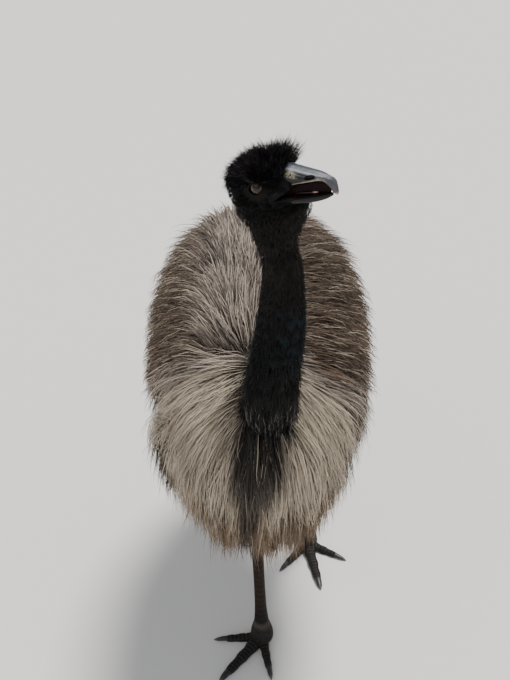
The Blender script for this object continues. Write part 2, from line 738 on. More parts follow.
def smooth_joints(skin):
    """Evens the skin where the neck meets the throat and the trunk, and where the shanks meet the thighs."""
    points, _ = points_of(skin)
    local = in_head(points)
    z = points[:, 2]
    near = (np.abs(local[:, 2] + 0.125) < 0.022) & (np.linalg.norm(local, axis=1) < 0.18)
    near |= (np.abs(z - 1.06) < 0.06) & (points[:, 1] < -0.30)
    near |= np.abs(z - 0.425) < 0.02
    group = skin.vertex_groups.new(name="joints")
    group.add(np.flatnonzero(near).tolist(), 1.0, "REPLACE")
    even = skin.modifiers.new("even", "SMOOTH")
    even.factor, even.iterations, even.vertex_group = 0.5, 12, "joints"
    settle(skin)
    skin.vertex_groups.clear()


# Which part of the bird a point is on


def leg_of(points):
    """True where the nearer leg is the left one."""
    away = [np.linalg.norm((points - leg_centre(LEGS[name], points[:, 2]))[:, :2], axis=1)
            for name in ("right", "left")]
    return away[1] < away[0]


def neck_line(points):
    """Share of the neck's length nearest to each point, and the distance from the neck's centre line."""
    shares = np.linspace(0, 0.97, 60)
    line = along(NECK_STATIONS, shares)[:, :3]
    away = np.linalg.norm(points[:, None] - line[None], axis=2)
    nearest = away.argmin(axis=1)
    return shares[nearest], away[np.arange(len(points)), nearest]


def parts_at(points):
    """Which points are on the head, neck, trunk, tail, thighs and bare legs, and which can grow neck hair."""
    _, y, z = points.T
    top, bottom, _ = along(TORSO_STATIONS, y).T
    share, away = neck_line(points)
    radius = along(NECK_STATIONS, share)[:, 3]
    local = in_head(points)
    head = (local[:, 2] > -0.106) & (np.linalg.norm(local, axis=1) < 0.13)
    neck = ~head & (away < radius + 0.012) & (z > top - 0.9 * SKIN_DEPTH + 0.012) & (y < -0.15)
    leg = ~head & ~neck & (z < bottom + 1.2 * SKIN_DEPTH - 0.012)
    bare = leg & (z < HOCK_TOP)
    trunk = ~(head | neck | leg)
    hairy = neck | head & (local[:, 2] < -0.044)
    return {"head": head, "neck": neck, "hairy": hairy, "thigh": leg & ~bare, "bare": bare,
            "tail": trunk & (y > TAIL_Y), "trunk": trunk & (y <= TAIL_Y)}


# Markings, shared by the skin and the coat


def over_edge(points):
    """Height of points over the cloak's lower edge, which falls outward on the shoulders."""
    ys, zs = np.array(CLOAK_EDGE).T
    x, y, z = points.T
    fall = np.interp(x, CLOAK_FALL[0], CLOAK_FALL[1]) * (1 - soft_step(-0.20, -0.06, y))
    return z - np.interp(y, ys, zs) + fall


def cloak_share(points):
    """1 on the brown cloak and 0 on the breast and belly under its edge."""
    return soft_step(-0.035, 0.035, over_edge(points) + 0.016 * wobble(points, 0.10, 21))


def cloak_colour(points):
    """Pale along the parting, brown outward of it and darkest low on the flanks."""
    x, y, z = points.T
    away = np.abs(x - PARTING_X)
    pale = np.exp(-(away / 0.10) ** 2) * (1 - soft_step(0.15, 0.45, y))
    near_edge = 0.85 * (1 - soft_step(0.03, 0.10, over_edge(points)))
    pale = np.maximum(pale, near_edge * (1 - soft_step(-0.2, -0.1, y)))
    tone = mix(BROWN, PALE, np.clip(pale * 1.05, 0, 1))
    low = 1 - soft_step(0.72, 0.92, z + 0.03 * wobble(points, 0.15, 22))
    tone = mix(tone, DARK_BROWN, low * np.where(x > 0, 0.75, 0.45))
    patch = soft_step(0.55, 1.2, wobble(points, 0.10, 23)) * 0.5
    return mix(tone, GAP_GREY, patch)


def breast_colour(points):
    """Cream sides, a black centre below the neck and a tan fringe."""
    x, y, z = points.T
    heights = (0.60, 0.68, 0.74, 0.80, 0.88, 0.95, 1.02)
    half = np.interp(z, heights, (0.018, 0.030, 0.052, 0.066, 0.076, 0.072, 0.052))
    middle = np.interp(z, heights, (-0.017, -0.017, 0.000, 0.012, 0.004, 0.006, 0.012))
    centre = 1 - soft_step(0.6, 1.35, np.abs(x - middle) / half + 0.18 * wobble(points, 0.05, 24))
    centre = centre * (1 - soft_step(-0.20, -0.05, y))
    tone = mix(CREAM, TAN * 0.8, 1 - soft_step(0.60, 0.70, z + 0.02 * wobble(points, 0.07, 25)))
    side = soft_step(0.175, 0.21, np.abs(x - TORSO_X)) * (1 - soft_step(0.68, 0.74, z))
    tone = mix(tone, DARK_BROWN, np.clip(side + soft_step(0.0, 0.2, y) * 0.6, 0, 1))
    return mix(tone, SOOT, centre * np.interp(z, (0.62, 0.80), (0.65, 0.97)))


def trunk_colour(points):
    return mix(breast_colour(points), cloak_colour(points), cloak_share(points))


def neck_colour(points):
    """Jet black below, sooty brown above, with blue skin on the sides of its middle."""
    x, _, z = points.T
    tone = mix(JET, SOOT * 1.3, soft_step(1.20, 1.42, z))
    blue = soft_step(-0.1, 0.7, wobble(points, 0.030, 26))
    blue = blue * soft_step(1.10, 1.17, z) * (1 - soft_step(1.27, 1.36, z))
    return mix(tone, SKIN_BLUE, blue * (0.10 + 0.30 * soft_step(0.03, 0.06, x)))


def skin_colours(points, normals):
    """The skin's colours: the coat's markings, darker, and bare skin, scales and the mouth."""
    part = parts_at(points)
    tone = np.tile(SKIN_DARK, (len(points), 1))
    covered = part["trunk"] | part["tail"]
    tone[covered] = trunk_colour(points[covered]) * 0.35
    tone[part["thigh"]] = DARK_BROWN * 0.6
    tone[part["neck"]] = neck_colour(points[part["neck"]]) * 1.4
    local = in_head(points)
    inside = part["head"] & (local[:, 0] > GAPE[0] + 0.001) & (np.abs(local[:, 1]) < 0.0175)
    inside &= (local[:, 2] < PALATE_Z + 0.002) & (local[:, 2] > JAW_Z - 0.002)
    tone[inside] = MOUTH
    left = leg_of(points)
    for leg in LEGS.values():
        rows = part["bare"] & (left == (leg["side"] > 0))
        spots = points[rows]
        shank, toe, height = scute_fields(spots, normals[rows], leg)
        base = mix(SCALE_DARK, SHANK_BROWN, soft_step(0.08, 0.14, spots[:, 2]))
        groove = np.clip((shank + toe) * (1 - height / 0.5), 0, 1) * np.where(spots[:, 2] < 0.07, 0.55, 0.2)
        ring = np.exp(-((spots[:, 2] - 0.062) / 0.006) ** 2) * 0.5
        scale = (1 - scale_grain(spots, SCALE_SIZE)) * (1 - np.maximum(shank, toe)) * 0.45
        tone[rows] = mix(base, SCALE_PALE, np.clip(groove + ring + scale, 0, 0.85))
    return tone


# The coat


def ground_of(skin):
    """The skin's triangles: corners, middles, normals, doubled areas and parts, and a search tree."""
    mesh = skin.data
    mesh.calc_loop_triangles()
    indices = np.empty(len(mesh.loop_triangles) * 3, int)
    mesh.loop_triangles.foreach_get("vertices", indices)
    points, _ = points_of(skin)
    corners = points[indices.reshape(-1, 3)]
    crossed = np.cross(corners[:, 1] - corners[:, 0], corners[:, 2] - corners[:, 0])
    areas = np.linalg.norm(crossed, axis=1)
    middles = corners.mean(axis=1)
    tree = BVHTree.FromPolygons(points.tolist(), indices.reshape(-1, 3).tolist())
    return {"corners": corners, "middles": middles, "normals": crossed / np.maximum(areas, 1e-12)[:, None],
            "areas": areas, "parts": parts_at(middles), "tree": tree}


def sample(ground, chosen, count, draw):
    """Random points of the chosen triangles and their normals, spread evenly by area."""
    weights = ground["areas"] * chosen
    picked = draw.choice(len(weights), count, p=weights / weights.sum())
    corners = ground["corners"][picked]
    shares = draw.random((count, 2, 1))
    shares = np.where(shares.sum(axis=1, keepdims=True) > 1, 1 - shares, shares)
    spots = corners[:, 0] + (shares * (corners[:, 1:] - corners[:, :1])).sum(axis=1)
    return spots, ground["normals"][picked]


def spaced(points, spacing):
    """Indices of points that are at least spacing apart, taken in order."""
    cells, kept = {}, []
    for i, spot in enumerate(points):
        key = tuple(np.floor(spot / spacing).astype(int))
        near = [j for dx in (-1, 0, 1) for dy in (-1, 0, 1) for dz in (-1, 0, 1)
                for j in cells.get((key[0] + dx, key[1] + dy, key[2] + dz), ())]
        if all(np.sum((points[j] - spot) ** 2) >= spacing**2 for j in near):
            cells.setdefault(key, []).append(i)
            kept.append(i)
    return kept


def follow(tree, root, normal, lie, stray, size, steps):
    """Centre points and normals of a feather that leaves the skin and follows the lie of the coat."""
    length, rise, droop = size(root, normal)
    spot = root - normal * 0.004
    up = normal.copy()
    route, ups = [spot.copy()], [up.copy()]
    for i in range(1, steps + 1):
        share = i / steps
        _, face_up, _, _ = tree.find_nearest(spot)
        way = lie(spot, face_up).normalized() + stray
        way = (way - face_up * min(way.dot(face_up), 0.0)).normalized() + Vector((0, 0, -droop * share))
        spot = spot + way.normalized() * (length / steps)
        near, face_up, _, _ = tree.find_nearest(spot)
        height = (spot - near).dot(face_up)
        wanted = rise * (1 - (1 - share) ** 2)
        held = 1.0 if rise < SHORT_RISE else min(max(face_up.z + 0.7, 0.0), 1.0)
        spot += face_up * (max(wanted - height, 0.0) - held * max(height - 1.1 * rise, 0.0))
        up = (up + face_up).normalized()
        route.append(spot.copy())
        ups.append(up.copy())
    return route, ups


def spread(roots, guide_roots, routes, ups, draw, look):
    """Centre points and normals of strands that follow the guides round them and gather to the nearest."""
    tree = KDTree(len(guide_roots))
    for i, spot in enumerate(guide_roots):
        tree.insert(spot, i)
    tree.balance()
    found = [tree.find_n(spot, 3) for spot in roots]
    near = np.array([[hit[1] for hit in hits] for hits in found])
    weight = 1 / (np.array([[hit[2] for hit in hits] for hits in found]) + 0.004) ** 2
    weight /= weight.sum(axis=1, keepdims=True)
    count, steps = len(roots), routes.shape[1]
    shares = np.linspace(0, 1, steps)[None, :, None]
    offsets = routes - routes[:, :1]
    path = (offsets[near] * weight[:, :, None, None]).sum(axis=1)
    scale = draw.uniform(*look["lengths"], (count, 1, 1))
    path = roots[:, None] + path * scale
    own = routes[near[:, 0]]
    loose = draw.normal(size=(count, 1, 3)) * look["loose"]
    path += (own + loose - path) * (look["clump"] * shares**1.3) * draw.uniform(0.4, 1.0, (count, 1, 1))
    apart = np.clip(draw.normal(size=(count, 1, 3)), -STRAY_LIMIT, STRAY_LIMIT) * look["flyaway"]
    path += apart * shares**1.4
    frizz = np.cumsum(draw.normal(size=(count, steps, 3)), axis=1) * look["frizz"]
    up = unit((ups[near] * weight[:, :, None, None]).sum(axis=1))
    lift = draw.uniform(-1, 0.3, (count, 1, 1)) * look["layer"] * np.sin(shares * math.pi / 2)
    path = path + frizz * shares + up * lift
    inside = np.clip(path[..., 0], *FLARE_FROM)
    path[..., 0] = inside + (path[..., 0] - inside) * FLARE_SHARE
    return path, up


def strand_mesh(name, path, up, width, thick, root_tone, tip_tone, patch):
    """One mesh of closed, three-sided strands that taper to both ends, coloured from root to tip."""
    count, stations = path.shape[:2]
    rings = stations - 2
    profile = np.interp(np.linspace(0, 1, stations), (0, 0.3, 0.6, 1.0), (0.6, 1.0, 0.85, 0.0))[1:-1]
    ahead = unit(path[:, 2:] - path[:, :-2])
    across = unit(np.cross(ahead, up[:, 1:-1]))
    lifted = np.cross(across, ahead)
    wide = across * (width[:, None] * profile)[..., None] / 2
    tall = lifted * (thick[:, None] * profile)[..., None]
    spots = path[:, 1:-1]
    ring = np.stack([spots - wide, spots + tall, spots + wide], axis=2).reshape(count, rings * 3, 3)
    points = np.concatenate([path[:, :1], ring, path[:, -1:]], axis=1)
    each = rings * 3 + 2
    faces = [(0, k + 1, (k + 1) % 3 + 1) for k in range(3)]
    for a in range(1, 3 * (rings - 1) + 1):
        b = a + 1 if a % 3 else a - 2
        faces += [(a, b + 3, b), (a, a + 3, b + 3)]
    faces += [(each - 1, each - 2 - k, each - 2 - (k + 1) % 3) for k in range(3)]
    corners = (np.arange(count)[:, None, None] * each + np.array(faces)[None]).ravel()
    share = np.concatenate([[0], np.repeat(np.arange(1, rings + 1), 3), [rings + 1]]) / (rings + 1)
    side = np.concatenate([[0.5], np.tile((0.0, 0.5, 1.0), rings), [0.5]])
    tones = mix(root_tone[:, None], tip_tone[:, None], np.broadcast_to(share, (count, each)) ** 0.8)
    places = patch[:, None] + TUFT_PATCH * np.column_stack([side, share])[None]
    return mesh_of_strands(name, points.reshape(-1, 3), corners, tones.reshape(-1, 3), places.reshape(-1, 2))


def mesh_of_strands(name, points, corners, tones, places):
    """The object over the strands' triangles, with their colours and their places on the unwrap."""
    mesh = bpy.data.meshes.new(name)
    mesh.vertices.add(len(points))
    mesh.vertices.foreach_set("co", points.ravel())
    mesh.loops.add(len(corners))
    mesh.loops.foreach_set("vertex_index", corners.astype(np.int32))
    mesh.polygons.add(len(corners) // 3)
    mesh.polygons.foreach_set("loop_start", np.arange(0, len(corners), 3, dtype=np.int32))
    mesh.update(calc_edges=True)
    made = linked(name, mesh)
    set_colours(made, tones)
    uv = mesh.uv_layers.new(name="OFBake")
    uv.data.foreach_set("uv", places[corners].ravel())
    smooth_shade(made)
    return made


def unwrapped(roots, middle, axis):
    """Places of roots on an unwrap round an axis: the angle about it and the distance along it."""
    others = [i for i in range(3) if i != axis]
    rel = roots - middle
    angle = np.arctan2(rel[:, others[0]], rel[:, others[1]]) / (2 * math.pi) + 0.5
    run = rel[:, axis]
    run = (run - run.min()) / max(np.ptp(run), 1e-6)
    return np.column_stack([angle, run]) * (1 - 2 * TUFT_PATCH) + TUFT_PATCH / 2


def grow_coat(ground, piece, seed):
    """One coat piece: guides over the wanted places, then strands between them."""
    draw = np.random.default_rng(seed)
    chosen = ground["parts"][piece["part"]] & piece["place"](ground["middles"], ground["normals"])
    look = {"lengths": (0.75, 1.1), "loose": 0.004, "clump": 0.5, "frizz": 0.0012, "layer": 0.02,
            "steps": 4, "stray": 0.12, "flyaway": 0.004, **piece["look"]}
    area = (ground["areas"] * chosen).sum() / 2
    pool, pool_normals = sample(ground, chosen, int(6 * area / piece["spacing"] ** 2), draw)
    kept = spaced(pool, piece["spacing"])
    guide_roots = pool[kept]
    route = piece.get("route", follow)
    strays = np.clip(draw.normal(size=(len(kept), 3)), -STRAY_LIMIT, STRAY_LIMIT) * look["stray"]
    grown = [route(ground["tree"], Vector(root), Vector(normal), piece["lie"], Vector(stray), piece["size"],
                   look["steps"])
             for root, normal, stray in zip(guide_roots, pool_normals[kept], strays)]
    routes = np.array([[tuple(p) for p in points] for points, _ in grown])
    ups = np.array([[tuple(p) for p in up] for _, up in grown])
    roots, _ = sample(ground, chosen, piece["strands"], draw)
    path, up = spread(roots, guide_roots, routes, ups, draw, look)
    root_tone, tip_tone = piece["tones"](path[:, -2], draw)
    width = piece["width"] * draw.uniform(0.7, 1.25, len(roots))
    patch = unwrapped(roots, roots.mean(axis=0), piece["axis"])
    return strand_mesh(piece["name"], path, up, width, width * 0.45, root_tone, tip_tone, patch)


def cloak_lie(near, up):
    """Back from the parting's line, turning sideways away from it, and down the flanks."""
    away = near.x - PARTING_X
    side = math.copysign(1.0, away)
    turned = float(soft_step(*PARTING_TURN, abs(away)))
    top = max(up.z, 0.0) ** 1.3
    over = Vector((side * turned, 1.12 - turned, 0.0))
    down = Vector((0.10 * side, 0.38, -1.0))
    return over * top + down * (1 - top)


def breast_lie(near, up):
    """Outward from the neck's foot and then down."""
    side = math.tanh((near.x - 0.01) / 0.06)
    high = float(soft_step(0.78, 0.98, near.z))
    fan = 0.75 if side < 0 else 0.35
    return Vector((side * (0.04 + fan * high), 0.06 * (1 - max(-up.y, 0)), -1.0 + 0.35 * high))


def trunk_lie(near, up):
    """The lie of the breast, which turns sideways and then back across the cloak's edge."""
    share = float(soft_step(-0.05, 0.07, over_edge(np.array([near]))[0]))
    side = math.tanh((near.x - PARTING_X) / 0.04)
    across = Vector((side, 0.35, 0.0)) * (2.4 * share * (1 - share))
    return breast_lie(near, up).normalized() * (1 - share) + cloak_lie(near, up).normalized() * share + across


def hanging_lie(near, up):
    return Vector((0.0, 0.22, -1.0))


def tail_lie(near, up):
    return Vector((0.5 * up.x, 0.75, -0.55))


def neck_lie(near, up):
    return Vector((0.0, 0.25, -1.0))


def face_lie(near, up):
    """Back and down over the cheeks, in head axes."""
    return (HEAD.to_3x3() @ Vector((-0.9, 0.0, -0.45))).normalized()


def crown_route(tree, root, normal, lie, stray, size, steps):
    """Strands of the crown stand over the forehead and lie back over the nape."""
    place = HEAD.to_3x3()
    at = place.inverted() @ (root - Vector(HEAD_AT))
    up = place.inverted() @ normal
    length, lean, stand = along(CROWN, at.x)[0]
    length *= 0.62 + 0.38 * max(up.z, 0.0)
    way = Vector((lean, 0, stand)) * up.z + up * 0.45 + Vector((-0.35, 0, -0.3)) * (1 - up.z)
    way += stray
    bend = Vector((0.03, 0, -0.08)) if at.x > 0.01 else Vector((-0.12, 0, -0.10))
    spot = at - up * 0.003
    route, ups = [], []
    for _ in range(steps + 1):
        route.append(place @ spot + Vector(HEAD_AT))
        ups.append(place @ (up + Vector((-0.6, 0, 0.1))).normalized())
        way = (way.normalized() + bend).normalized()
        spot = spot + way * (length / steps)
    return route, ups


# Length, rise off the skin and droop of the feathers at a root


def cloak_size(root, normal):
    if normal.z < 0.35:
        return 0.110, 0.048, 0.6
    return 0.095, 0.054, 0.35


def breast_size(root, normal):
    room = max(root.z - 0.470, 0.13)
    if normal.z < -0.35:
        return min(0.140, room), 0.034, 0.7
    return min(0.120, room), 0.044, 0.55


def tail_size(root, normal):
    return 0.190, 0.045, 0.9


def face_size(root, normal):
    return 0.011, 0.0022, 0.1


def thigh_size(root, normal):
    return min(0.120, max(root.z - 0.395, 0.03)), 0.020, 0.5


def neck_size(root, normal):
    heights = (0.95, 1.03, 1.12, 1.25, 1.42)
    length = np.interp(root.z, heights, (0.110, 0.075, 0.040, 0.022, 0.015))
    rise = np.interp(root.z, heights, (0.012, 0.011, 0.011, 0.007, 0.003))
    return length, rise, 0.25


def speckled(tone, draw, light, dark, light_share, dark_share, spread_by=0.16):
    """Varies each strand: some take the light colour, some the dark one, and all vary in brightness."""
    count = len(tone)
    pick = draw.random(count)
    tone = mix(tone, light, (pick < light_share) * draw.uniform(0.4, 0.9, count))
    tone = mix(tone, dark, (pick > 1 - dark_share) * draw.uniform(0.4, 0.9, count))
    return tone * draw.uniform(1 - spread_by, 1 + spread_by, (count, 1))


def cloak_tones(places, draw):
    tip = speckled(cloak_colour(places), draw, CREAM, DARK_BROWN, 0.20, 0.36, 0.25)
    near_edge = 1 - soft_step(0.02, 0.12, over_edge(places))
    return tip * mix(np.array([0.24]), np.array([0.60]), near_edge), tip


def breast_tones(places, draw):
    tip = speckled(trunk_colour(places), draw, CREAM, DARK_BROWN, 0.06, 0.12, 0.22)
    return tip * 0.48, tip


def tail_tones(places, draw):
    tip = speckled(cloak_colour(places) * 0.9, draw, PALE, DARK_BROWN, 0.12, 0.35)
    return tip * 0.4, tip


def thigh_tones(places, draw):
    tone = np.tile(mix(DARK_BROWN, BROWN, 0.35), (len(places), 1))
    tip = speckled(tone, draw, ASH, GAP_GREY, 0.12, 0.30)
    return tip * 0.5, tip


def neck_tones(places, draw):
    tone = neck_colour(places)
    low = 1 - soft_step(0.96, 1.03, places[:, 2])
    tip = mix(tone, ASH, (draw.random(len(places)) < 0.22 * low) * draw.uniform(0.2, 0.8, len(places)))
    return tone, tip


def crown_tones(places, draw):
    tone = np.tile(JET * 1.3, (len(places), 1))
    return tone * 0.7, speckled(tone, draw, colour(92, 88, 96), colour(40, 30, 30), 0.14, 0.2)


def face_tones(places, draw):
    tone = np.tile(JET * 1.2, (len(places), 1))
    return tone, speckled(tone, draw, colour(70, 64, 60), JET, 0.1, 0.2)


def anywhere(points, normals):
    return True


def cloak_place(side, back):
    """The cloak on one side of the parting, split in two lengths."""
    def test(points, normals):
        left = points[:, 0] > PARTING_X
        rear = points[:, 1] > CLOAK_SPLIT_Y
        return (left == (side > 0)) & (rear == back) & (cloak_share(points) > 0.5)
    return test


def breast_place(side):
    """The breast in front of the legs, on one side."""
    def test(points, normals):
        left = points[:, 0] > TORSO_X
        return (left == (side > 0)) & (cloak_share(points) <= 0.5) & (points[:, 1] < BREAST_BACK_Y)
    return test


def crown_place(points, normals):
    local, up = in_head(points), normals @ HEAD_BASIS
    return (up[:, 2] > 0.10) & (local[:, 0] > -0.053) & (local[:, 0] < 0.044) & (local[:, 2] > 0.006)


def face_place(points, normals):
    local = in_head(points)
    eye = np.hypot(local[:, 0] - EYE_AT[0], local[:, 2] - EYE_AT[2])
    free = (eye > 0.019) & (local[:, 0] < 0.040) & (np.abs(local[:, 2] + 0.018) < 0.030)
    return free & ~((local[:, 0] > GAPE[0] - 0.002) & (np.abs(local[:, 2] + 0.020) < 0.010))


def belly_place(points, normals):
    return (cloak_share(points) <= 0.5) & (points[:, 1] >= BREAST_BACK_Y)


def thigh_place(side):
    return lambda points, normals: leg_of(points) == (side > 0)


def hair_place(above):
    """The neck over the height where hair takes over from plumes, or under it."""
    return lambda points, normals: (points[:, 2] >= HAIR_Z) == above


def coat_piece(name, part, slot, place, lie, size, tones, *, strands, spacing, width, axis, **look):
    """What a coat piece needs: where it grows, how it lies, its strands, its unwrap's axis and its look."""
    return {"name": name, "part": part, "slot": slot, "place": place, "lie": lie, "size": size, "tones": tones,
            "strands": strands, "spacing": spacing, "width": width, "axis": axis, "look": look}


def trunk_coats():
    """The cloak in four pieces, the breast in two, and the belly."""
    for side, side_name in SIDES:
        for back, place, strands in ((False, "shoulder", 10000), (True, "rump", 7500)):
            yield coat_piece(f"{place}_{side_name}", "trunk", "flank", cloak_place(side, back), trunk_lie,
                             cloak_size, cloak_tones, strands=strands, spacing=0.016, width=0.0022, axis=1,
                             frizz=0.0028, layer=0.026, loose=0.005, lengths=(0.5, 1.25), stray=0.16,
                             flyaway=0.007)
    for side, side_name in SIDES:
        yield coat_piece(f"breast_{side_name}", "trunk", "flank", breast_place(side), trunk_lie, breast_size,
                         breast_tones, strands=7800, spacing=0.017, width=0.0018, axis=2,
                         frizz=0.0022, layer=0.022, lengths=(0.5, 1.2), stray=0.18, flyaway=0.007)
    yield coat_piece("belly", "trunk", "plumage", belly_place, breast_lie, breast_size, breast_tones,
                     strands=2800, spacing=0.022, width=0.0028, axis=1, frizz=0.002, layer=0.016)


def limb_coats():
    """The tail, the thighs and the neck, whose hair also covers the throat."""
    yield coat_piece("tail_plumes", "tail", "plumage", anywhere, tail_lie, tail_size, tail_tones,
                     strands=2800, spacing=0.018, width=0.0032, axis=1, clump=0.6, layer=0.02)
    for side, side_name in SIDES:
        yield coat_piece(f"thigh_coat_{side_name}", "thigh", "thigh", thigh_place(side), hanging_lie,
                         thigh_size, thigh_tones, strands=1800, spacing=0.016, width=0.0026, axis=2,
                         clump=0.6, layer=0.008)
    yield coat_piece("neck_plumes", "neck", "neck_feathers", hair_place(False), neck_lie, neck_size,
                     neck_tones, strands=5500, spacing=0.011, width=0.0016, axis=2,
                     clump=0.45, layer=0.006, loose=0.003, lengths=(0.45, 1.2), frizz=0.0016)
    yield coat_piece("neck_hair", "hairy", "neck_feathers", hair_place(True), neck_lie, neck_size,
                     neck_tones, strands=9000, spacing=0.008, width=0.0009, axis=2,
                     clump=0.35, layer=0.003, loose=0.002, steps=3, frizz=0.0007, flyaway=0.001)


def head_coats():
    """The crown, which has routes of its own, and the short hair of the face."""
    yield {"route": crown_route,
           **coat_piece("crown", "head", "head_skin", crown_place, face_lie, None, crown_tones,
                        strands=7000, spacing=0.0065, width=0.0008, axis=1, clump=0.22, layer=0.0,
                        loose=0.005, frizz=0.0016, lengths=(0.45, 1.08), stray=0.18, flyaway=0.002)}
    yield coat_piece("face_hair", "head", "head_skin", face_place, face_lie, face_size, face_tones,
                     strands=3200, spacing=0.0055, width=0.0006, axis=1, clump=0.3, layer=0.0006,
                     loose=0.001, frizz=0.0004, steps=3, flyaway=0.0006)


def coat_plan():
    """All coat pieces. Their order sets their random draws."""
    return [*trunk_coats(), *limb_coats(), *head_coats()]


# Bill, eyes and claws


def bill_ridge(x):
    """Height of the upper bill's ridge and half width of the bill over x, up to where the nail turns down."""
    rows = rows_through(UPPER_BILL_STATIONS, 60)[:45]
    return np.interp(x, rows[:, 0], rows[:, 1]), np.interp(x, rows[:, 0], rows[:, 4])


def horn_colours(points, upper):
    """Slate along the ridge, black sides, a mottled base, and a cream edge and wear towards the tip."""
    x, _, z = points.T
    if not upper:
        tone = np.tile(colour(15, 14, 15), (len(points), 1))
        return mix(tone, MOUTH * 0.5, soft_step(-0.0300, -0.0285, z) * 0.6)
    down = bill_ridge(x)[0] - z
    tone = mix(colour(60, 65, 74), colour(17, 17, 19), soft_step(0.0030, 0.0052, down))
    line = np.exp(-((down - 0.0026) / 0.0010) ** 2)
    tone = mix(tone, colour(158, 164, 170), line * (1 - soft_step(0.080, 0.090, x)) * 0.65)
    base = (1 - soft_step(0.054, 0.062, x)) * soft_step(0.0030, 0.0050, down)
    base = base * (1 - soft_step(0.011, 0.014, down))
    ring = np.abs(np.sin(wobble(points, 0.006, 51) * 3.2))
    tone = mix(tone, colour(150, 145, 122), base * soft_step(0.35, 0.8, ring) * 0.85)
    edge = soft_step(-0.0060, -0.0080, z) * (1 - soft_step(0.088, 0.094, x))
    worn = soft_step(0.082, 0.087, x) * (1 - soft_step(0.094, 0.099, x)) * soft_step(0.003, 0.005, down)
    rough = 0.75 + 0.25 * wobble(points, 0.0025, 54)
    tone = mix(tone, colour(168, 156, 144), np.clip(np.maximum(edge, 0.7 * worn) * rough, 0, 1) * 0.9)
    nail = soft_step(0.094, 0.100, x)
    tone = mix(tone, colour(82, 80, 88), nail * 0.85)
    return mix(tone, colour(168, 138, 134), soft_step(0.0325, 0.0370, -z) * nail * 0.8)


def tongue_colours(points):
    """Dark at the root and pale pink at the tip."""
    return mix(MOUTH * 0.3, colour(196, 150, 144), soft_step(0.069, 0.075, points[:, 0]))


def build_bill(paint):
    """The halves of the bill, the tongue and the palate, with the node that each replaces and its slot."""
    upper = loft("horn_upper", profile_rings(UPPER_BILL_STATIONS, 72, 56, 2.0))
    shape_upper_bill(upper)
    nostrils = [ball("nostril", mirrored(NOSTRIL_AT, side), NOSTRIL_RADII) for side in (-1, 1)]
    combine(upper, nostrils, "DIFFERENCE")
    lower = loft("horn_lower", profile_rings(LOWER_BILL_STATIONS, 40, 48, 2.5))
    tongue = loft("tongue_flesh", profile_rings(TONGUE_STATIONS, 30, 32, 2.4))
    palate = loft("palate", profile_rings(PALATE_STATIONS, 36, 32, 2.2))
    points, normals = points_of(palate)
    move_points(palate, points + normals * (0.0004 * wobble(points, 0.004, 53))[:, None])
    for item, tones in ((upper, horn_colours(points_of(upper)[0], True)),
                        (lower, horn_colours(points_of(lower)[0], False)),
                        (palate, np.tile(MOUTH * 0.15, (len(points), 1))),
                        (tongue, tongue_colours(points_of(tongue)[0]))):
        set_colours(item, tones)
        smooth_shade(item)
        item.data.transform(HEAD)
    dress(upper, paint["horn"])
    dress(lower, paint["horn"])
    dress(tongue, paint["tongue"])
    dress(palate, paint["skin"])
    return [(upper, "bill_upper", "horn"), (lower, "bill_lower", "horn"), (tongue, "tongue", "tongue"),
            (palate, None, "tongue")]


def shape_upper_bill(upper):
    """A flat-topped ridge with a groove on each side, a lip along the edge and fine wear."""
    points, normals = points_of(upper)
    x, y, z = points.T
    top, half = bill_ridge(x)
    down = top - z
    ridge = np.exp(-(y / (0.30 * half)) ** 4) * soft_step(0.003, 0.0, down)
    groove = np.exp(-((down - 0.0052) / 0.0016) ** 2)
    groove = groove * soft_step(0.048, 0.056, x) * (1 - soft_step(0.090, 0.098, x))
    lip = np.exp(-((z + 0.0085) / 0.0012) ** 2) * (1 - soft_step(0.084, 0.090, x))
    lip = lip * soft_step(0.3, 0.7, np.abs(y) / half)
    push = 0.0011 * ridge - 0.0011 * groove + 0.0006 * lip + 0.00008 * wobble(points, 0.003, 52)
    move_points(upper, points + normals * push[:, None])


def build_eyes(paint):
    """Eyeballs with a bulging cornea, a dark pupil and an amber iris."""
    made = []
    for side, name in SIDES:
        eye = ball(f"eyeball_{name}", (0, 0, 0), (EYE_RADIUS,) * 3, sides=96)
        points, _ = points_of(eye)
        gaze = unit(np.array([0.12, side, 0.02]))
        angle = np.degrees(np.arccos(np.clip(unit(points) @ gaze, -1, 1)))
        bulge = 0.0011 * np.cos(np.clip(angle / 42, 0, 1) * math.pi / 2) ** 2
        spokes = wobble(unit(points) * 0.02, 0.004, 61) * 0.5 + 0.5
        iris = mix(colour(44, 32, 20), colour(92, 72, 44), np.clip(spokes, 0, 1))
        iris = mix(iris, colour(26, 18, 12), soft_step(36, 42, angle))
        tone = mix(colour(3, 3, 4), iris, soft_step(22, 25, angle))
        tone = mix(tone, colour(14, 10, 9), soft_step(41, 46, angle))
        set_colours(eye, tone)
        move_points(eye, points * (1 + bulge / EYE_RADIUS)[:, None])
        eye.data.transform(HEAD @ Matrix.Translation(mirrored(EYE_AT, side)))
        smooth_shade(eye)
        dress(eye, paint["eye"])
        made.append((eye, f"eye_{name}", "eye"))
    return made


